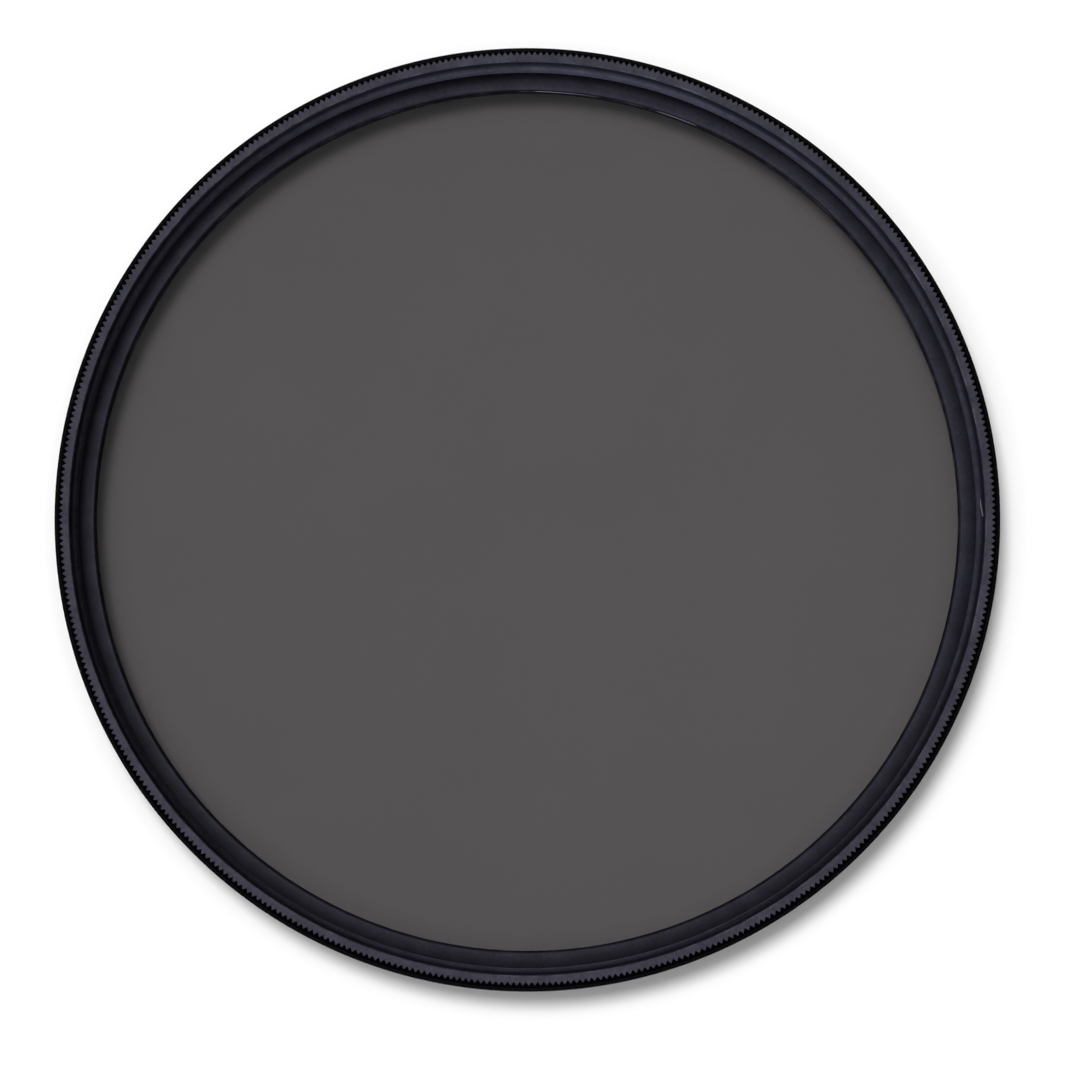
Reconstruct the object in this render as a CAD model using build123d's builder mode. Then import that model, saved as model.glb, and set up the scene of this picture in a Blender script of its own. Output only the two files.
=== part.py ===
"""Screw-in lens filter: a knurled ring, a grey glass disc and the ring that holds the glass."""
import os
from math import cos, pi, radians, sin, sqrt, tan

from build123d import *

# Filter thread, metric fine, 77 mm nominal
thread_r = 77.0 / 2
thread_pitch = 0.75
thread_height = thread_pitch * sqrt(3) / 2
male_allowance = 0.02
male_relief = 0.05
female_relief = 0.1
female_crest_r = thread_r - thread_height * 5 / 8
female_relief_r = thread_r + female_relief
male_crest_r = thread_r - male_allowance
male_relief_r = male_crest_r - thread_height * 17 / 24 - male_relief
relief_width = 0.5
shoulder_relief = 0.15
male_length = 2.6
male_chamfer = 0.3

# Stack along the axis, from the front face to the rear end of the thread
recess_depth = 3.1
lip_height = 0.9
glass_thickness = 2.0
retainer_height = 1.2
retainer_setback = 0.4
retainer_z = retainer_setback
glass_z = retainer_z + retainer_height
seat_z = glass_z + glass_thickness
lip_z = seat_z + lip_height
front_z = lip_z + recess_depth

# Rim, outwards from the thread: lead-in, flat front face, step to the smooth band
mouth_width = 0.28
face_width = 0.82
band_step = 0.46
rim_bevel = 0.4
mouth_r = thread_r + mouth_width
knurl_crest_r = mouth_r + face_width
rim_r = knurl_crest_r + band_step
lead_in = mouth_r - female_crest_r

# Knurled grip band at the front edge, straight V grooves
knurl_pitch = 0.509
knurl_angle = 78.0
knurl_height = 1.0
knurl_ledge = 0.16
knurl_teeth = round(2 * pi * knurl_crest_r / knurl_pitch)
knurl_depth = knurl_pitch / 2 / tan(radians(knurl_angle / 2))
knurl_root_r = knurl_crest_r - knurl_depth
knurl_base_z = front_z - knurl_height
band_bevel = band_step - knurl_ledge
overlap = 0.1

# Lip, inwards from the thread, and the glass that rests against it
lip_width = 1.9
lip_bevel = 0.25
glass_seat = 0.8
glass_bevel = 0.15
glass_clearance = 0.1
aperture_r = thread_r - lip_width
glass_r = aperture_r + glass_seat
pocket_r = glass_r + glass_clearance

# Retaining ring behind the glass
retainer_clearance = 0.03
retainer_width = 0.7
retainer_bevel = 0.15
slot_width = 1.5
slot_depth = 0.6
retainer_r = pocket_r - retainer_clearance
retainer_bore_r = retainer_r - retainer_width


def knurl_point(step):
    """Corner of the toothed outline: crests on even steps, roots on odd ones."""
    radius = knurl_root_r if step % 2 else knurl_crest_r
    angle = pi * step / knurl_teeth
    return (radius * cos(angle), radius * sin(angle))


# Ring: the turned section first, then the knurled band
with BuildPart() as filter_ring:
    with BuildSketch(Plane.XZ):
        with BuildLine():
            Polyline(
                (pocket_r, 0),
                (male_crest_r - male_chamfer, 0),
                (male_crest_r, male_chamfer),
                (male_crest_r, male_length - relief_width),
                (male_relief_r, male_length - relief_width),
                (male_relief_r, male_length + shoulder_relief),
                (female_relief_r, male_length),
                (rim_r - rim_bevel, male_length),
                (rim_r, male_length + rim_bevel),
                (rim_r, knurl_base_z - band_bevel),
                (rim_r - band_bevel, knurl_base_z),
                (knurl_root_r - overlap, knurl_base_z),
                (knurl_root_r - overlap, front_z),
                (mouth_r, front_z),
                (female_crest_r, front_z - lead_in),
                (female_crest_r, lip_z + relief_width),
                (female_relief_r, lip_z + relief_width),
                (female_relief_r, lip_z),
                (aperture_r + lip_bevel, lip_z),
                (aperture_r, lip_z - lip_bevel),
                (aperture_r, seat_z),
                (pocket_r, seat_z),
                close=True,
            )
        make_face()
    revolve(axis=Axis.Z)
    with BuildSketch(Plane.XY.offset(knurl_base_z)):
        with BuildLine():
            Polyline(*[knurl_point(step) for step in range(2 * knurl_teeth)], close=True)
        make_face()
        Circle(mouth_r + overlap, mode=Mode.SUBTRACT)
    extrude(amount=knurl_height)

# Glass: a flat disc, its front face against the lip
with BuildPart() as filter_glass:
    with BuildSketch(Plane.XY.offset(glass_z)):
        Circle(glass_r)
    extrude(amount=glass_thickness)
    chamfer(filter_glass.edges(), length=glass_bevel)

# Retaining ring: bevelled at the rear, with two slots for a spanner
with BuildPart() as retaining_ring:
    with BuildSketch(Plane.XY.offset(retainer_z)):
        Circle(retainer_r)
        Circle(retainer_bore_r, mode=Mode.SUBTRACT)
    extrude(amount=retainer_height)
    chamfer(retaining_ring.faces().sort_by(Axis.Z)[0].edges(), length=retainer_bevel)
    with BuildSketch(Plane.XY.offset(retainer_z)):
        Rectangle(2 * rim_r, slot_width)
    extrude(amount=slot_depth, mode=Mode.SUBTRACT)

filter_ring.part.label = "filter_ring"
filter_glass.part.label = "filter_glass"
retaining_ring.part.label = "retaining_ring"

os.makedirs("parts", exist_ok=True)
export_step(filter_ring.part, "parts/filter_ring.step")
export_step(filter_glass.part, "parts/filter_glass.step")
export_step(retaining_ring.part, "parts/retaining_ring.step")
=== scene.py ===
# %% [markdown]
# # A screw-in lens filter
# The object is a thin black ring that holds a disc of grey glass. A lathe made almost all of it, so most of
# this lesson builds one Geometry Nodes "lathe" and then cuts a knurl and two screw threads with it. The
# measured solids are loaded first and give the places and sizes that everything here keeps to.

# %% Load the measured frame
import math

import bpy
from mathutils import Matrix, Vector


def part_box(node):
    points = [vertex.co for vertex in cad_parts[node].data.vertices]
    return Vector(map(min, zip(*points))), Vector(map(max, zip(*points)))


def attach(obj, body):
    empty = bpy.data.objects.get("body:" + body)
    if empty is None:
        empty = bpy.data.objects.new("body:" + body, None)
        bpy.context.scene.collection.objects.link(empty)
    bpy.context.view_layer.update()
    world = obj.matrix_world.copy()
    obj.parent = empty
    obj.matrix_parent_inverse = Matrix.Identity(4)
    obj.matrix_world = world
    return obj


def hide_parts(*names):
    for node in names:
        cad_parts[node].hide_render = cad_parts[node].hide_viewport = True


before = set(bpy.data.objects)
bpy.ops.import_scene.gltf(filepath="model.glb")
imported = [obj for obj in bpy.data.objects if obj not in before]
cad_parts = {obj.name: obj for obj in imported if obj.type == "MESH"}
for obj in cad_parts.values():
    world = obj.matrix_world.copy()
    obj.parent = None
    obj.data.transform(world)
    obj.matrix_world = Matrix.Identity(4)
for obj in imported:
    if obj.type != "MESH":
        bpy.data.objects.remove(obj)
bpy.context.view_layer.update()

# %% [markdown]
# ## Sizes
# A filter is sold by its thread, here 77 mm with a 0.75 mm pitch, so the sizes below start from the thread
# and walk outwards to the rim and inwards to the glass. They are the same values as the solids have, in
# metres.

# %% Sizes of the ring
MM = 0.001
pitch = 0.75 * MM
female_crest_r = 38.094 * MM
female_relief_r = 38.6 * MM
male_crest_r = 38.48 * MM
male_relief_r = 37.97 * MM
relief_width = 0.5 * MM
male_length = 2.6 * MM
male_chamfer = 0.3 * MM
shoulder_relief = 0.15 * MM
mouth_r = 38.78 * MM
knurl_crest_r = 39.6 * MM
knurl_teeth = 489
knurl_pitch = 0.509 * MM
knurl_angle = math.radians(78)
knurl_depth = knurl_pitch / 2 / math.tan(knurl_angle / 2)
knurl_height = 1.0 * MM
rim_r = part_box("filter_ring")[1][0]
front_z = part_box("filter_ring")[1][2]
rim_bevel = 0.4 * MM
band_bevel = 0.3 * MM
seat_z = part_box("filter_glass")[1][2]
pocket_r = 37.5 * MM
aperture_r = 36.6 * MM
lip_height = 0.9 * MM
lip_z = seat_z + lip_height
lip_bevel = 0.25 * MM
knurl_base_z = front_z - knurl_height
print(f"rim {rim_r / MM:.2f} mm, front face {front_z / MM:.2f} mm, glass front {seat_z / MM:.2f} mm")

# %% [markdown]
# ## The ring's section
# A lathe tool follows a section, so the ring starts as a closed row of points in the plane of radius and
# height. Each point carries a few numbers: how much of the knurl it takes, whether it belongs to a screw
# thread, how far the thread may wind it up or down, how matt its finish is and how far painted shade darkens
# it there, and whether it lies on an edge that shows wear or a painted glint. Real edges are never knife
# sharp, so a corner that catches light can ask for a small rounding. An arc of three points then takes its
# place, and one more point on each side holds the arc's smooth shading off the flat faces.

# %% Corners of a section
arc_hold = 0.3


def corner(points, r, z, **marks):
    """Adds a plain point, which stays at its height all the way round."""
    plain = {"r": r, "z": z, "low": z, "high": z}
    unmarked = {"round": 0.0, "knurl": 0.0, "helix": 0.0, "dull": 0.0, "edge": 0.0}
    points.append({**plain, **unmarked, **marks})


def soften(points):
    """Replaces each corner that asks for a rounding by an arc that is tangent to the runs on both sides."""
    done = []
    for i, p in enumerate(points):
        if not p["round"]:
            done.append(p)
            continue
        trio = (p, points[i - 1], points[(i + 1) % len(points)])
        here, before, after = (Vector((q["r"], q["z"])) for q in trio)
        before = (before - here).normalized()
        after = (after - here).normalized()
        half = before.angle(after) / 2
        reach = p["round"] / math.tan(half)
        hold = reach + arc_hold * p["round"]
        middle = here + (before + after).normalized() * p["round"] * (1 / math.sin(half) - 1)
        arc = [here + before * hold, here + before * reach, middle, here + after * reach, here + after * hold]
        for spot in arc:
            wear = p["edge"] if spot is middle else 0.0
            done.append({**p, "r": spot.x, "z": spot.y, "low": spot.y, "high": spot.y, "edge": wear})
    return done


sample_round = 0.1
sample = []
for sample_r, sample_z in ((0.0, 0.0), (1.0, 0.0), (1.0, 1.0)):
    corner(sample, sample_r, sample_z, round=sample_round)
print("a triangle with rounded corners becomes", len(soften(sample)), "points")


# %% [markdown]
# ### Screw threads in the section
# A thread is the same wave in every section, only shifted by one pitch in each turn. The rows below follow
# the crests, flanks and roots of that wave, and later each row climbs one pitch as it goes round. Metric
# threads have flanks at 60 degrees to each other, with narrow flats left on the crests and at the roots.
# Widths along the wave are shares of a pitch.

# %% Rows of a thread
REAR, FRONT = -1.0, 1.0
half_pitch = 0.5
thread_crest_half = 0.09
thread_root_half = 0.07
flank_run = half_pitch - thread_crest_half - thread_root_half
flank_lean = math.radians(30)
thread_depth = flank_run * pitch / math.tan(flank_lean)
spare_turns = 2


def thread(points, r, low, high, side, start, flank_rows):
    """Rows of one screw thread. They climb a pitch in a turn, so the lowest start a pitch below its end."""
    flank = [thread_crest_half + flank_run * i / (flank_rows - 1) for i in range(flank_rows)]
    one_pitch = flank + [1 - f for f in reversed(flank)]
    turns = range(math.floor(low / pitch - spare_turns), math.ceil(high / pitch + spare_turns))
    rows = [(turn + row - start) * pitch for turn in turns for row in one_pitch]
    below = max(z for z in rows if z <= low - pitch)
    above = min(z for z in rows if z >= high)
    kept = [z for z in rows if below <= z <= above]
    for z in kept if side == REAR else reversed(kept):
        corner(points, r, z, low=low, high=high, helix=side)
    return len(kept)


print(f"thread: pitch {pitch / MM:.2f} mm, depth {thread_depth / MM:.3f} mm")


# %% Where the threads start, how their rows lie, and how soft the edges are
front_groove_depth = 0.5 * MM
front_groove_turn = 0.25
front_start = (half_pitch + front_groove_turn - (front_z - front_groove_depth) / pitch) % 1.0
rear_start = 0.3
front_flank_rows = 4
rear_flank_rows = 2
lead_in = 0.1 * MM
front_low_z = lip_z + relief_width
front_top_z = front_z - lead_in
rear_top_z = male_length - relief_width
tooth_bevel = 0.04 * MM
# The places marked below get a rough finish and full painted shade; the painted shade fades out over a short
# distance above the band's bevel.
shade_fade = 0.1 * MM
matt = {"dull": 1.0}
soft = 0.1 * MM
lip_soft = 0.8 * soft
print(f"front thread starts at {front_start:.3f} of a turn, rear thread at {rear_start:.3f}")

# %% Fill the section in, from the rear thread round the outside to the front, and back down the inside
ring_section = []
male_rows = thread(ring_section, male_crest_r, 0.0, rear_top_z, REAR, rear_start, rear_flank_rows)
corner(ring_section, male_relief_r, rear_top_z)
corner(ring_section, male_relief_r, male_length + shoulder_relief)
corner(ring_section, female_relief_r, male_length)
corner(ring_section, rim_r - rim_bevel, male_length, round=soft, edge=0.5)
corner(ring_section, rim_r, male_length + rim_bevel, round=soft, edge=0.5)
# From here to the teeth and from the mouth down to the glass, the marked points get painted shade: full in
# the step and the knurl's roots, partial up the teeth, at the lead-in, beside the wall under the lip and on
# the lip's bevel.
corner(ring_section, rim_r, knurl_base_z - band_bevel - shade_fade)
corner(ring_section, rim_r, knurl_base_z - band_bevel, **matt)
corner(ring_section, rim_r - band_bevel, knurl_base_z, **matt)
corner(ring_section, knurl_crest_r, knurl_base_z, knurl=1.0, **matt)
corner(ring_section, knurl_crest_r, front_z - tooth_bevel, knurl=1.0, dull=0.4)
corner(ring_section, knurl_crest_r - tooth_bevel, front_z, knurl=1.0)
corner(ring_section, mouth_r, front_z, round=soft, edge=0.3)
corner(ring_section, mouth_r - lead_in, front_top_z, dull=0.7)
female_rows = thread(
    ring_section, female_crest_r, front_low_z, front_top_z, FRONT, front_start, front_flank_rows)
corner(ring_section, female_relief_r, front_low_z)
corner(ring_section, female_relief_r, lip_z, dull=0.8)
corner(ring_section, aperture_r + lip_bevel, lip_z, round=soft, dull=0.2)
corner(ring_section, aperture_r, lip_z - lip_bevel, round=lip_soft, edge=1.0, dull=0.85)
corner(ring_section, aperture_r, seat_z, **matt)
corner(ring_section, pocket_r, seat_z)
corner(ring_section, pocket_r, 0.0)
ring_section = soften(ring_section)
print("section:", len(ring_section), "points; rear thread:", male_rows, "rows; front thread:", female_rows)

# %% [markdown]
# ## A lathe in Geometry Nodes
# Blender's Screw modifier could spin the section, but it knows nothing of knurls and threads. A Geometry
# Nodes tree can place every point by rule instead. It makes a flat grid, reads off for each grid point which
# section point and which turn of the spindle it stands for, and works out three rules: the thread is a wave
# along the height that climbs one pitch in a turn, a cone cuts the thread's ends back, and the knurl is a
# triangle wave round the rim.

# %% Small helpers that add nodes and link them
def link_in(tree, value, socket):
    """Links a socket, or sets a plain value."""
    if isinstance(value, bpy.types.NodeSocket):
        tree.links.new(value, socket)
    else:
        socket.default_value = value


def add(tree, kind, values=(), **settings):
    """Adds a node, sets its options, and fills its enabled inputs in order or by name."""
    node = tree.nodes.new(kind)
    for key, setting in settings.items():
        setattr(node, key, setting)
    named = values.items() if isinstance(values, dict) else enumerate(values)
    live = [s for s in node.inputs if s.enabled]
    for key, value in named:
        link_in(tree, value, live[key] if isinstance(key, int) else next(s for s in live if s.name == key))
    return node


def out(node, name=None):
    """The first enabled output of a node, or the one of that name."""
    return next(s for s in node.outputs if s.enabled and (name is None or s.name == name))


def calc(tree, operation, *values):
    """A Math node's result."""
    return out(add(tree, "ShaderNodeMath", values, operation=operation))


def new_tree(name, kind, inputs, outputs):
    """A node group with named inputs and outputs."""
    tree = bpy.data.node_groups.new(name, kind)
    for label, socket_type, value in inputs:
        socket = tree.interface.new_socket(label, in_out="INPUT", socket_type=socket_type)
        if value is not None:
            socket.default_value = value
    for label, socket_type in outputs:
        tree.interface.new_socket(label, in_out="OUTPUT", socket_type=socket_type)
    return tree, tree.nodes.new("NodeGroupInput"), tree.nodes.new("NodeGroupOutput")


print("node helpers are ready")


# %% The lathe's inputs, and the grid that it bends into a ring
NUMBER = "NodeSocketFloat"
lathe, given, result = new_tree(
    "turned_ring",
    "GeometryNodeTree",
    [
        ("Section", "NodeSocketGeometry", None),
        ("Columns", "NodeSocketInt", 360),
        ("Teeth", "NodeSocketInt", 1),
        ("Knurl Depth", NUMBER, 0.0),
        ("Thread Pitch", NUMBER, pitch),
        ("Thread Depth", NUMBER, 0.0),
        ("Crest Half", NUMBER, thread_crest_half),
        ("Root Half", NUMBER, thread_root_half),
        ("Front Start", NUMBER, 0.0),
        ("Rear Start", NUMBER, 0.0),
        ("Mouth Radius", NUMBER, 0.0),
        ("Front Height", NUMBER, 0.0),
        ("Rear End Radius", NUMBER, 0.0),
        ("Finish", "NodeSocketMaterial", None),
    ],
    [("Ring", "NodeSocketGeometry")],
)
size = given.outputs


def rule(operation, *values):
    """A Math node's result in the lathe tree."""
    return calc(lathe, operation, *values)


points = add(lathe, "GeometryNodeAttributeDomainSize", [size["Section"]], component="MESH")
count = out(points, "Point Count")
rows = rule("ADD", count, 1.0)
columns = rule("ADD", size["Columns"], 1.0)
grid = add(lathe, "GeometryNodeMeshGrid", {"Vertices X": columns, "Vertices Y": rows})
index = out(add(lathe, "GeometryNodeInputIndex"))
place = rule("MODULO", rule("MODULO", index, rows), count)
turn = rule("DIVIDE", rule("FLOOR", rule("DIVIDE", index, rows)), size["Columns"])
print("lathe inputs:", [socket.name for socket in size if socket.name])


# %% The thread and its cone: heights climb by a pitch in a turn, and a clipped wave cuts the flanks
def from_section(name):
    """A number that the section's point carries, for the grid point that stands for it."""
    source = out(add(lathe, "GeometryNodeInputNamedAttribute", {"Name": name}, data_type="FLOAT"))
    return out(add(lathe, "GeometryNodeSampleIndex", [size["Section"], source, place], data_type="FLOAT"))


radius = from_section("r")
helix = from_section("helix")
in_front = rule("GREATER_THAN", helix, FRONT / 2)
climb = rule("MULTIPLY", rule("ABSOLUTE", helix), rule("MULTIPLY", turn, size["Thread Pitch"]))
height = rule("MAXIMUM", rule("ADD", from_section("z"), climb), from_section("low"))
height = rule("MINIMUM", height, from_section("high"))
start_gap = rule("MULTIPLY", in_front, rule("SUBTRACT", size["Front Start"], size["Rear Start"]))
phase = rule("SUBTRACT", rule("DIVIDE", height, size["Thread Pitch"]), turn)
phase = rule("ADD", phase, rule("ADD", size["Rear Start"], start_gap))
wave = {
    "Value": rule("PINGPONG", phase, half_pitch),
    "From Min": size["Crest Half"],
    "From Max": rule("SUBTRACT", half_pitch, size["Root Half"]),
}
cut = rule("MULTIPLY", out(add(lathe, "ShaderNodeMapRange", wave, clamp=True)), size["Thread Depth"])
cone = rule("SUBTRACT", size["Mouth Radius"], rule("SUBTRACT", size["Front Height"], height))
female = rule("MAXIMUM", rule("ADD", radius, cut), cone)
male = rule("MINIMUM", rule("SUBTRACT", radius, cut), rule("ADD", size["Rear End Radius"], height))
print("with the thread rule:", len(lathe.nodes), "nodes")

# %% The knurl, and the choice between the rules
half_tooth = 0.5
tooth = rule("PINGPONG", rule("MULTIPLY", turn, size["Teeth"]), half_tooth)
tooth = rule("DIVIDE", tooth, half_tooth)
groove = rule("MULTIPLY", rule("MULTIPLY", tooth, size["Knurl Depth"]), from_section("knurl"))
behind = rule("LESS_THAN", helix, REAR / 2)
plain = rule("SUBTRACT", radius, groove)
radius = out(add(lathe, "GeometryNodeSwitch", [behind, plain, male], input_type="FLOAT"))
radius = out(add(lathe, "GeometryNodeSwitch", [in_front, radius, female], input_type="FLOAT"))
angle = rule("MULTIPLY", turn, 2 * math.pi)
across = rule("MULTIPLY", radius, rule("COSINE", angle))
along = rule("MULTIPLY", radius, rule("SINE", angle))
spot = out(add(lathe, "ShaderNodeCombineXYZ", [across, along, height]))
ring = out(add(lathe, "GeometryNodeSetPosition", {"Geometry": out(grid, "Mesh"), "Position": spot}))
print("with the knurl rule:", len(lathe.nodes), "nodes")

# %% Close the seams, keep the finish and painted-shade numbers, and hand over a plain ring
same_spot = 0.002 * MM
# The front thread's roots, nearest the mouth's radius, get painted shade up to this share, kept with the
# section's own shade marks.
dull_from = 0.45 * MM
dull_to = 0.25 * MM
most_dull = 0.7
inside_mouth = rule("SUBTRACT", size["Mouth Radius"], radius)
near_mouth = {"Value": inside_mouth, "From Min": dull_from, "From Max": dull_to, "To Max": most_dull}
root_dull = rule("MULTIPLY", out(add(lathe, "ShaderNodeMapRange", near_mouth, clamp=True)), in_front)
dullness = rule("MAXIMUM", root_dull, from_section("dull"))
for mark, value in (("dull", dullness), ("edge", from_section("edge"))):
    kept = {"Geometry": ring, "Name": mark, "Value": value}
    ring = out(add(lathe, "GeometryNodeStoreNamedAttribute", kept, data_type="FLOAT", domain="POINT"))
ring = out(add(lathe, "GeometryNodeMergeByDistance", {"Geometry": ring, "Distance": same_spot}))
ring = out(add(lathe, "GeometryNodeRealizeInstances", [ring]))
ring = out(add(lathe, "GeometryNodeSetMaterial", {"Geometry": ring, "Material": size["Finish"]}))
lathe.links.new(ring, result.inputs["Ring"])
print("lathe tree:", len(lathe.nodes), "nodes")


# %% [markdown]
# ## Turning the ring
# The section becomes a small mesh of loose points that carry their numbers as attributes. The tree runs on it
# as a modifier, and the result is kept as a plain mesh, so that nothing is left to evaluate. Sharp edges are
# marked by angle, so that the thread and the knurl keep their creases and the rounded edges shade smoothly.

# %% Run a tree on a section
crease = math.radians(30)


def set_input(modifier, name, value):
    """Sets a modifier's input by its socket's identifier."""
    for item in modifier.node_group.interface.items_tree:
        if item.item_type == "SOCKET" and item.in_out == "INPUT" and item.name == name:
            modifier[item.identifier] = value


def new_object(name, mesh):
    """An object of this mesh at the origin, in the scene."""
    piece = bpy.data.objects.new(name, mesh)
    bpy.context.scene.collection.objects.link(piece)
    return piece


def turned(name, points, tree, **sizes):
    """A plain mesh object that a tree turns from a section."""
    mesh = bpy.data.meshes.new(name + "_section")
    mesh.from_pydata([(p["r"], 0.0, p["z"]) for p in points], [], [])
    for mark in ("r", "z", "low", "high", "knurl", "helix", "dull", "edge"):
        mesh.attributes.new(mark, "FLOAT", "POINT").data.foreach_set("value", [p[mark] for p in points])
    blank = new_object(name + "_section", mesh)
    modifier = blank.modifiers.new("lathe", "NODES")
    modifier.node_group = tree
    for key, value in sizes.items():
        set_input(modifier, key.replace("_", " "), value)
    finished = blank.evaluated_get(bpy.context.evaluated_depsgraph_get())
    piece = new_object(name, bpy.data.meshes.new_from_object(finished))
    bpy.data.objects.remove(blank)
    piece.data.name = name
    piece.data.polygons.foreach_set("use_smooth", [True] * len(piece.data.polygons))
    piece.data.set_sharp_from_angle(angle=crease)
    return piece


def triangles(piece):
    """How many triangles a mesh object has."""
    return sum(len(p.vertices) - 2 for p in piece.data.polygons)


print("the lathe has", len(list(lathe.interface.items_tree)), "sockets, with its result")


# %% Turn the ring and hang it on the frame
columns_per_tooth = 2
anodised = bpy.data.materials.new("black_anodised")
ring_piece = turned(
    "knurled_ring",
    ring_section,
    lathe,
    Columns=columns_per_tooth * knurl_teeth,
    Teeth=knurl_teeth,
    Knurl_Depth=knurl_depth,
    Thread_Pitch=pitch,
    Thread_Depth=thread_depth,
    Crest_Half=thread_crest_half,
    Root_Half=thread_root_half,
    Front_Start=front_start,
    Rear_Start=rear_start,
    Mouth_Radius=mouth_r,
    Front_Height=front_z,
    Rear_End_Radius=male_crest_r - male_chamfer,
    Finish=anodised,
)
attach(ring_piece, "root")
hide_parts("filter_ring")
print("ring:", len(ring_piece.data.vertices), "points,", triangles(ring_piece), "triangles")

# %% [markdown]
# ## The retaining ring
# A thin ring behind the glass presses it against the lip. Two slots across its rear face take a spanner. The
# same lathe turns it, and a second tree puts the lathe and one long cutter into a Mesh Boolean node, which
# opens both slots at once, as a saw would.

# %% Sizes of the retaining ring
retainer_low, retainer_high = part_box("retaining_ring")
rear_z, top_z = retainer_low[2], retainer_high[2]
retainer_r = retainer_high[0]
retainer_width = 0.7 * MM
retainer_bore_r = retainer_r - retainer_width
retainer_bevel = 0.15 * MM
retainer_columns = 720
slot_length = 2 * rim_r
slot_width = 1.5 * MM
slot_depth = 0.6 * MM
slim = 0.03 * MM
slim_round = 2 * slim
print(f"retaining ring: {2 * retainer_r / MM:.2f} mm across, bore {2 * retainer_bore_r / MM:.2f} mm")

# %% A tree that turns a ring and saws a slot across it
slotted, given, result = new_tree(
    "slotted_ring",
    "GeometryNodeTree",
    [
        ("Section", "NodeSocketGeometry", None),
        ("Columns", "NodeSocketInt", retainer_columns),
        ("Slot Length", NUMBER, slot_length),
        ("Slot Width", NUMBER, slot_width),
        ("Slot Depth", NUMBER, slot_depth),
        ("Rear Height", NUMBER, rear_z),
        ("Finish", "NodeSocketMaterial", None),
    ],
    [("Ring", "NodeSocketGeometry")],
)
size = given.outputs
blank = {"Section": size["Section"], "Columns": size["Columns"], "Finish": size["Finish"]}
ring = out(add(slotted, "GeometryNodeGroup", blank, node_tree=lathe))
saw_height = calc(slotted, "MULTIPLY", size["Slot Depth"], 2.0)
saw_size = out(add(slotted, "ShaderNodeCombineXYZ", [size["Slot Length"], size["Slot Width"], saw_height]))
saw = out(add(slotted, "GeometryNodeMeshCube", {"Size": saw_size}), "Mesh")
saw_place = out(add(slotted, "ShaderNodeCombineXYZ", {"Z": size["Rear Height"]}))
saw = out(add(slotted, "GeometryNodeTransform", {"Geometry": saw, "Translation": saw_place}))
ring = out(add(slotted, "GeometryNodeMeshBoolean", {"Mesh 1": ring, "Mesh 2": saw}, operation="DIFFERENCE"))
ring = out(add(slotted, "GeometryNodeRealizeInstances", [ring]))
ring = out(add(slotted, "GeometryNodeSetMaterial", {"Geometry": ring, "Material": size["Finish"]}))
slotted.links.new(ring, result.inputs["Ring"])
print("slotted tree:", len(slotted.nodes), "nodes")

# %% Turn the retaining ring
retainer_section = []
corner(retainer_section, retainer_r - retainer_bevel, rear_z, round=slim_round)
corner(retainer_section, retainer_r, rear_z + retainer_bevel, round=slim_round)
corner(retainer_section, retainer_r, top_z - slim)
corner(retainer_section, retainer_r - slim, top_z)
corner(retainer_section, retainer_bore_r + slim, top_z)
corner(retainer_section, retainer_bore_r, top_z - slim)
corner(retainer_section, retainer_bore_r, rear_z + retainer_bevel, round=slim_round)
corner(retainer_section, retainer_bore_r + retainer_bevel, rear_z, round=slim_round)

matt_anodised = bpy.data.materials.new("matt_anodised")
retainer = turned(
    "slotted_retaining_ring",
    soften(retainer_section),
    slotted,
    Columns=retainer_columns,
    Slot_Length=slot_length,
    Slot_Width=slot_width,
    Slot_Depth=slot_depth,
    Rear_Height=rear_z,
    Finish=matt_anodised,
)
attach(retainer, "root")
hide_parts("retaining_ring")
print("retaining ring:", len(retainer.data.vertices), "points,", triangles(retainer), "triangles")

# %% [markdown]
# ## Marks that both rings share
# Turned metal keeps the tool's path as fine circles, the blasting before the dye leaves a grain, and the dye
# itself takes a little unevenly. All three are noise, read from the piece's own Object coordinates so that
# they stay put. The circles come from a 4D noise that changes quickly with radius and height but slowly round
# the ring. A few specks of dust lie on top: the middles of a Voronoi pattern's cells, of which the cell's
# random colour picks a small share.

# %% A shader group for turning marks, grain, mottle and dust
VECTOR = "NodeSocketVector"
finish_marks, given, result = new_tree(
    "finish_marks",
    "ShaderNodeTree",
    [
        ("Place", VECTOR, None),
        ("Mark Width", NUMBER, 0.1 * MM),
        ("Grain Size", NUMBER, 0.1 * MM),
        ("Mottle Size", NUMBER, 2.0 * MM),
        ("Dust Gap", NUMBER, 1.5 * MM),
        ("Dust Share", NUMBER, 0.03),
    ],
    [("Marks", NUMBER), ("Grain", NUMBER), ("Mottle", NUMBER), ("Dust", NUMBER)],
)
size = given.outputs
print("finish marks:", [socket.name for socket in result.inputs if socket.name])


# %% Noise helpers
def noise(tree, place, detail, w=None):
    """A noise texture of scale 1 at this place."""
    values = {"Vector": place, "Scale": 1.0, "Detail": detail}
    if w is not None:
        values["W"] = w
    return out(add(tree, "ShaderNodeTexNoise", values, noise_dimensions="3D" if w is None else "4D"))


def scaled(tree, vector, factor):
    """A colour or a place times a value."""
    return out(add(tree, "ShaderNodeVectorMath", {"Vector": vector, "Scale": factor}, operation="SCALE"))


def shrunk(tree, place, length):
    """A place measured in steps of this length."""
    return scaled(tree, place, calc(tree, "DIVIDE", 1.0, length))


def from_axis(tree, place):
    """The distance of a place from the filter's axis."""
    flat = out(add(tree, "ShaderNodeVectorMath", [place, (1, 1, 0)], operation="MULTIPLY"))
    return out(add(tree, "ShaderNodeVectorMath", [flat], operation="LENGTH"), "Value")


print("noise helpers are ready")


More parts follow.
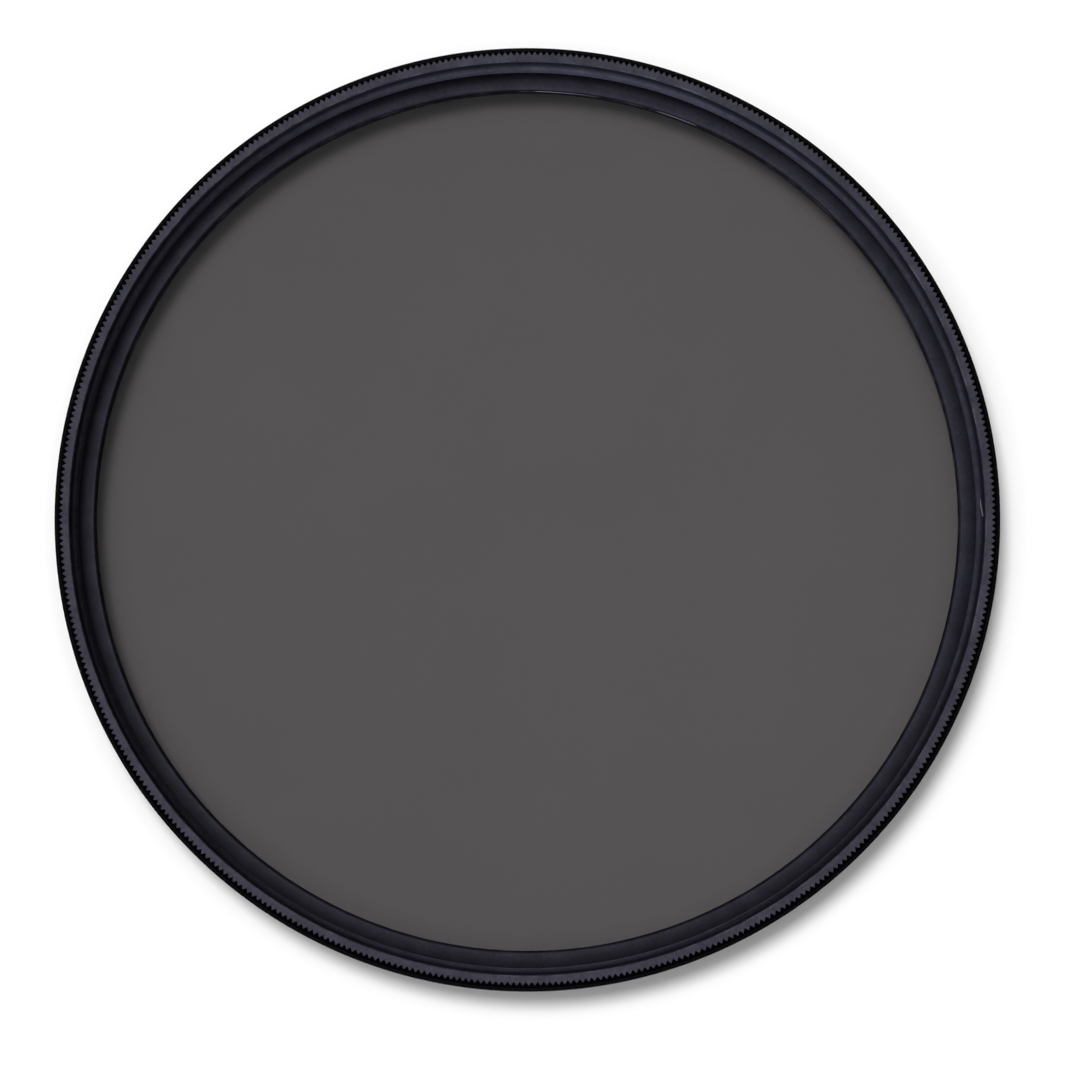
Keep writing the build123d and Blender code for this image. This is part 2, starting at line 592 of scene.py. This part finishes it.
# %% Circles, grain and mottle
steps_round = 5.0
mark_detail = 2.0
grain_detail = 3.0
axes = add(finish_marks, "ShaderNodeSeparateXYZ", [size["Place"]]).outputs
radius = from_axis(finish_marks, size["Place"])
slowness = calc(finish_marks, "DIVIDE", steps_round, radius)
mark_spot = out(add(finish_marks, "ShaderNodeCombineXYZ", [
    calc(finish_marks, "DIVIDE", radius, size["Mark Width"]),
    calc(finish_marks, "MULTIPLY", axes["X"], slowness),
    calc(finish_marks, "MULTIPLY", axes["Y"], slowness)]))
mark_height = calc(finish_marks, "DIVIDE", axes["Z"], size["Mark Width"])
circles = noise(finish_marks, mark_spot, mark_detail, mark_height)
finish_marks.links.new(circles, result.inputs["Marks"])
for name in ("Grain", "Mottle"):
    spot = shrunk(finish_marks, size["Place"], size[name + " Size"])
    finish_marks.links.new(noise(finish_marks, spot, grain_detail), result.inputs[name])
print("circles, grain and mottle:", len(finish_marks.nodes), "nodes")

# %% Dust in the same group
speck_size = 0.05
dust_spot = shrunk(finish_marks, size["Place"], size["Dust Gap"])
cells = add(finish_marks, "ShaderNodeTexVoronoi", {"Vector": dust_spot, "Scale": 1.0})
pick = out(add(finish_marks, "ShaderNodeSeparateColor", [out(cells, "Color")]), "Red")
picked = calc(finish_marks, "LESS_THAN", pick, size["Dust Share"])
speck = calc(finish_marks, "LESS_THAN", out(cells, "Distance"), speck_size)
finish_marks.links.new(calc(finish_marks, "MULTIPLY", picked, speck), result.inputs["Dust"])
print("with dust:", len(finish_marks.nodes), "nodes")

# %% [markdown]
# ## Black anodising
# Anodising grows a hard layer of oxide on aluminium, and a dye turns it black with a hint of blue. It still
# mirrors softly, so the shader is a metal with a very dark colour. The roots of the knurl, the step below it,
# the thread's mouth and the wall under the lip are rougher, and there the colour is painted near black as
# shade; the teeth, the thread's roots and the lip beside the wall get part of that painted shade.

# %% Helpers for shaders
def blend(tree, factor, a, b):
    """A colour between a and b."""
    return out(add(tree, "ShaderNodeMix", {"Factor": factor, "A": a, "B": b}, data_type="RGBA"))


def spread(tree, value, low, high):
    """Stretches a value from 0..1 to low..high."""
    return out(add(tree, "ShaderNodeMapRange", {"Value": value, "To Min": low, "To Max": high}, clamp=False))


def step(tree, value, low, high):
    """0 below low, 1 above high and a smooth step between."""
    limits = {"Value": value, "From Min": low, "From Max": high}
    return out(add(tree, "ShaderNodeMapRange", limits, interpolation_type="SMOOTHSTEP"))


def finish(material, **values):
    """The Principled shader of a material, with plain values on its sockets."""
    material.use_nodes = True
    shader = material.node_tree.nodes["Principled BSDF"]
    for key, value in values.items():
        shader.inputs[key.replace("_", " ")].default_value = value
    return material.node_tree, shader


def own_place(tree):
    """The piece's own coordinates."""
    return add(tree, "ShaderNodeTexCoord").outputs["Object"]


def marks_on(tree, place, **sizes):
    """The shared marks at this place. A size that isn't given stays as the group has it."""
    values = {key.replace("_", " "): value for key, value in sizes.items()}
    return add(tree, "ShaderNodeGroup", {"Place": place, **values}, node_tree=finish_marks).outputs


print("shader helpers are ready")


# %% The dyed surface and its tone
dye = (0.0189, 0.0186, 0.0252)
mark_tones = (0.8, 1.2)
grain_tones = (0.35, 1.65)
mottle_tones = (0.6, 1.4)
dyed_roughness = (0.46, 0.62)
tree, shader = finish(anodised, Metallic=1.0)
place = own_place(tree)
marks = marks_on(tree, place, Mark_Width=0.09 * MM, Grain_Size=0.3 * MM, Mottle_Size=1.7 * MM)
tone = spread(tree, marks["Marks"], *mark_tones)
tone = calc(tree, "MULTIPLY", tone, spread(tree, marks["Grain"], *grain_tones))
tone = calc(tree, "MULTIPLY", tone, spread(tree, marks["Mottle"], *mottle_tones))
colour = scaled(tree, dye, tone)
rough = spread(tree, marks["Grain"], *dyed_roughness)
print("dye:", dye)

# %% The matt places, with their painted shade
# A near-black colour stands in for painted shade at the places that the section marks, deepest in the
# recesses; the roughness there goes up too.
painted_shade_colour = (0.001, 0.001, 0.0015, 1)
matt_roughness = 0.25
dull = out(add(tree, "ShaderNodeAttribute", attribute_name="dull"), "Fac")
colour = blend(tree, dull, colour, painted_shade_colour)
rough = calc(tree, "ADD", rough, calc(tree, "MULTIPLY", dull, matt_roughness))
print("matt colour:", painted_shade_colour[:3])

# %% [markdown]
# ### Wear and a painted glint
# Where a hand or a lens rubs, the edges turn a little paler, in patches that follow the mottle. A painted
# glint lies on the lip's inner edge, in short bright dashes of bare-metal colour along a stretch at the far
# side.
# A thread cut on a lathe starts in a thin feather of metal. Here it has torn: at the right a bright sliver
# runs up the lead-in, and a fine line along the feather leads to it. These marks are short and almost
# straight as seen from the front, so the distance to a line is all the mask that they need.

# %% A mask for short straight marks
mark_edge = 0.6
mark_core = 0.3


def near_line(start, end, width):
    """1 on a straight mark between two places of the front, 0 away from it, in millimetres."""
    start = Vector((*start, 0)) * MM
    run = Vector((*end, 0)) * MM - start
    flat = out(add(tree, "ShaderNodeVectorMath", [place, (1, 1, 0)], operation="MULTIPLY"))
    from_start = out(add(tree, "ShaderNodeVectorMath", [flat, start], operation="SUBTRACT"))
    share = out(add(tree, "ShaderNodeVectorMath", [from_start, run], operation="DOT_PRODUCT"), "Value")
    share = out(add(tree, "ShaderNodeMapRange", {"Value": share, "From Max": run.length_squared}, clamp=True))
    nearest = scaled(tree, run, share)
    gap = out(add(tree, "ShaderNodeVectorMath", [from_start, nearest], operation="DISTANCE"), "Value")
    print(f"mark {run.length / MM:.2f} mm long and {width:.2f} mm wide")
    return step(tree, gap, mark_edge * width * MM, mark_core * width * MM)


# %% Worn edges and a painted glint
bare_metal_and_glint = (0.5, 0.49, 0.52, 1)
edge_wear = 0.32
worn_patches = (0.45, 0.7)
# The painted glint: short bright dashes of bare-metal colour on the lip's inner edge, along a line at the far
# side.
glint_from, glint_to, glint_width = (1.3, 36.3), (13.6, 33.7), 1.6
glint_dashes = (0.35, 0.5)
wear_and_glint = calc(tree, "MULTIPLY", step(tree, marks["Mottle"], *worn_patches), edge_wear)
painted_glint = near_line(glint_from, glint_to, glint_width)
painted_glint = calc(tree, "MULTIPLY", painted_glint, step(tree, marks["Mottle"], *glint_dashes))
edge = out(add(tree, "ShaderNodeAttribute", attribute_name="edge"), "Fac")
wear_and_glint = calc(tree, "MULTIPLY", edge, calc(tree, "MAXIMUM", wear_and_glint, painted_glint))
colour = blend(tree, wear_and_glint, colour, bare_metal_and_glint)

# %% The torn sliver, as far down as the lead-in goes
torn_metal = (0.1, 0.1, 0.11, 1)
feather_start, sliver_start, sliver_end = (38.03, 4.65), (38.27, 1.55), (38.52, 0.1)
feather_width, sliver_width = 0.08, 0.1
feather_share = 0.1
torn_low_z = front_z - 0.54 * MM
torn_full_z = front_z - 0.5 * MM
feather = calc(tree, "MULTIPLY", near_line(feather_start, sliver_start, feather_width), feather_share)
torn = calc(tree, "MAXIMUM", near_line(sliver_start, sliver_end, sliver_width), feather)
height = out(add(tree, "ShaderNodeSeparateXYZ", [place]), "Z")
torn = calc(tree, "MULTIPLY", torn, step(tree, height, torn_low_z, torn_full_z))
colour = blend(tree, torn, colour, torn_metal)

# %% Dust, gloss and a slight relief
dust_colour = (0.6, 0.58, 0.55, 1)
dust_cover = 0.3
relief_depth = 0.01 * MM
relief_strength = 0.25
dusty = calc(tree, "MULTIPLY", marks["Dust"], dust_cover)
colour = blend(tree, dusty, colour, dust_colour)
tree.links.new(colour, shader.inputs["Base Color"])
tree.links.new(rough, shader.inputs["Roughness"])
relief = calc(tree, "ADD", marks["Marks"], marks["Grain"])
relief = {"Strength": relief_strength, "Distance": relief_depth, "Height": relief}
tree.links.new(out(add(tree, "ShaderNodeBump", relief)), shader.inputs["Normal"])
print("black anodising:", len(tree.nodes), "nodes")

# %% [markdown]
# ## The retaining ring's finish
# The ring behind the glass is blasted before it is dyed, so that it sends little light back into the lens. It
# takes the same marks with other values: a finer grain, no circles, and less gloss.

# %% A matt black
matt_dye = (0.035, 0.034, 0.042)
blast_tones = (0.7, 1.3)
blast_mottle = (0.85, 1.15)
blast_roughness = (0.5, 0.75)
blast_strength = 0.3
tree, shader = finish(matt_anodised, Metallic=0.6)
marks = marks_on(tree, own_place(tree), Grain_Size=0.09 * MM, Mottle_Size=1.5 * MM)
tone = spread(tree, marks["Grain"], *blast_tones)
tone = calc(tree, "MULTIPLY", tone, spread(tree, marks["Mottle"], *blast_mottle))
tree.links.new(scaled(tree, matt_dye, tone), shader.inputs["Base Color"])
tree.links.new(spread(tree, marks["Grain"], *blast_roughness), shader.inputs["Roughness"])
relief = {"Strength": blast_strength, "Distance": relief_depth, "Height": marks["Grain"]}
tree.links.new(out(add(tree, "ShaderNodeBump", relief)), shader.inputs["Normal"])
print("matt black:", len(tree.nodes), "nodes")

# %% [markdown]
# ## Grey glass
# The disc is a plain solid with two flat faces, so the measured solid stays as it is and only gets its glass.
# A grey filter passes about the same share of every colour. Light from a lamp can hardly find its way through
# glass that bends it, so for lamps and for light that the floor throws back, a Transparent shader stands in
# for the glass. No melt is perfectly even, so the grey drifts a little, and the edge under the lip is ground
# and therefore matt.

# %% The glass, with a slow drift of its grey and a ground edge
passed = (0.296, 0.288, 0.291)
drift_size = 14 * MM
drift_detail = 1.0
drift_range = (0.97, 1.03)
ground_roughness = 0.6
disc_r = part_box("filter_glass")[1][0]
ground_from_r = disc_r - 0.2 * MM
ground_full_r = disc_r - 0.1 * MM
grey_glass = bpy.data.materials.new("grey_glass")
tree, shader = finish(grey_glass, IOR=1.5, Transmission_Weight=1.0)
place = own_place(tree)
drift = noise(tree, shrunk(tree, place, drift_size), drift_detail)
drift = spread(tree, drift, *drift_range)
tree.links.new(scaled(tree, passed, drift), shader.inputs["Base Color"])
ground = step(tree, from_axis(tree, place), ground_from_r, ground_full_r)
tree.links.new(calc(tree, "MULTIPLY", ground, ground_roughness), shader.inputs["Roughness"])
print(f"the glass passes {passed[1]:.0%} of the light")

# %% A stand-in for lamps
through = (*(math.sqrt(share) for share in passed), 1)
path = add(tree, "ShaderNodeLightPath").outputs
clear = out(add(tree, "ShaderNodeBsdfTransparent", [through]))
glass = out(add(tree, "ShaderNodeMixShader", [path["Is Diffuse Ray"], out(shader), clear]))
glass = out(add(tree, "ShaderNodeMixShader", [path["Is Shadow Ray"], glass, clear]))
tree.links.new(glass, tree.nodes["Material Output"].inputs["Surface"])
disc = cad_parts["filter_glass"].data
disc.materials.clear()
disc.materials.append(grey_glass)
print("grey glass:", len(tree.nodes), "nodes")

# %% [markdown]
# ## Floor
# The filter lies on white paper, which also shows through the glass.

# %% White paper
reach = 10.0
paper_white = (0.97, 0.97, 0.97, 1)
floor_mesh = bpy.data.meshes.new("floor")
corners = [(-reach, -reach, 0), (reach, -reach, 0), (reach, reach, 0), (-reach, reach, 0)]
floor_mesh.from_pydata(corners, [], [(0, 1, 2, 3)])
floor = new_object("floor", floor_mesh)
paper = bpy.data.materials.new("white_paper")
finish(paper, Base_Color=paper_white, Roughness=1.0, Specular_IOR_Level=0.0)
floor_mesh.materials.append(paper)
print(f"floor: {2 * reach:.0f} m wide")

# %% [markdown]
# ## Light
# A soft lamp high up, a little to the left and to the far side, throws the shadow, and a broad diffuser
# overhead softens it close to the rim. Glass would mirror both, so the diffuser has a hole where the camera
# looks out, and light linking keeps the lamps off the glass. Three low lamps, at the near, the far and the
# left side, look into the ring and show the thread. They are kept off the paper too, as a photographer would
# do with pieces of black card.

# %% The lamps, each with the pieces that it lights
def soft_lamp(name, direction, degrees, energy, colour, pieces):
    """A distant round lamp that looks this wide and lights these pieces only."""
    lamp = bpy.data.lights.new(name, "SUN")
    lamp.angle = math.radians(degrees)
    lamp.energy = energy
    lamp.color = colour
    holder = bpy.data.objects.new(name, lamp)
    bpy.context.scene.collection.objects.link(holder)
    holder.rotation_euler = Vector(direction).to_track_quat("Z", "Y").to_euler()
    lit = bpy.data.collections.new("lit_by_" + name)
    for piece in pieces:
        lit.objects.link(piece)
    holder.light_linking.receiver_collection = lit
    print(f"{name}: {degrees} degrees wide, strength {energy}, on {len(pieces)} pieces")


white = (1.0, 1.0, 1.0)
rings = (ring_piece, retainer)
on_rings = {"colour": (0.96, 0.95, 1.09), "pieces": rings}
soft_lamp("key", (-0.13, 0.185, 1.0), degrees=14, energy=1.83, colour=white, pieces=(*rings, floor))
soft_lamp("near_side", (-0.2, -0.97, 0.35), degrees=60, energy=5.0, **on_rings)
soft_lamp("far_side", (0.0, 0.97, 0.3), degrees=50, energy=1.6, **on_rings)
soft_lamp("left_side", (-0.97, 0.0, 0.35), degrees=50, energy=1.5, **on_rings)

# %% The room
world = bpy.data.worlds.new("room")
bpy.context.scene.world = world
world.use_nodes = True
tree = world.node_tree
direction = add(tree, "ShaderNodeTexCoord").outputs["Generated"]


def facing(vector):
    """How far a direction of the room points along a vector, as the cosine of the angle between them."""
    unit = Vector(vector).normalized()
    return out(add(tree, "ShaderNodeVectorMath", [direction, unit], operation="DOT_PRODUCT"), "Value")


def disc_of(vector, degrees, soft_edge):
    """1 inside a round patch of the room and 0 outside, with a soft edge."""
    edges = (math.cos(math.radians(degrees + soft_edge)), math.cos(math.radians(degrees - soft_edge)))
    return step(tree, facing(vector), *edges)


wall_light = 0.185
wall_change = 0.05
brighter_wall = (-0.7, -0.7, 0.0)
diffuser_light = 1.55
hole_depth = 0.95
hole = disc_of((0.0, 0.07, 1.0), degrees=5.5, soft_edge=1.5)
diffuser = disc_of((-0.1, 0.1, 1.0), degrees=30, soft_edge=6)
walls = calc(tree, "MULTIPLY_ADD", facing(brighter_wall), wall_change, wall_light)
room = calc(tree, "MULTIPLY_ADD", diffuser, diffuser_light, walls)
room = calc(tree, "MULTIPLY", room, calc(tree, "MULTIPLY_ADD", hole, -hole_depth, 1.0))
tree.nodes["Background"].inputs["Color"].default_value = (*white, 1)
tree.links.new(room, tree.nodes["Background"].inputs["Strength"])
print("room:", len(tree.nodes), "nodes")

# %% [markdown]
# ## Camera
# The photograph looks almost straight down, leaning a little to the near side, from about two thirds of a
# metre. The distances in pixels say where the ring's front face stands in the picture.

# %% Camera
picture = 1080
pixels_per_mm = 11.83
ring_offset = (-12.65, 23.3)
lean = math.radians(3.9)
away = 0.66
camera_data = bpy.data.cameras.new("camera")
camera = bpy.data.objects.new("camera", camera_data)
bpy.context.scene.collection.objects.link(camera)
bpy.context.scene.camera = camera
camera_data.sensor_width = 36.0
camera_data.lens = camera_data.sensor_width * away / (picture / pixels_per_mm * MM)
aim = Vector((-ring_offset[0] / pixels_per_mm * MM, -ring_offset[1] / pixels_per_mm * MM, front_z))
camera.location = aim + away * Vector((0, -math.sin(lean), math.cos(lean)))
camera.rotation_euler = (lean, 0, 0)
bpy.context.scene.view_settings.view_transform = "Standard"
print(f"camera: {camera_data.lens:.0f} mm lens, {away:.2f} m away, leaning {math.degrees(lean):.1f} degrees")
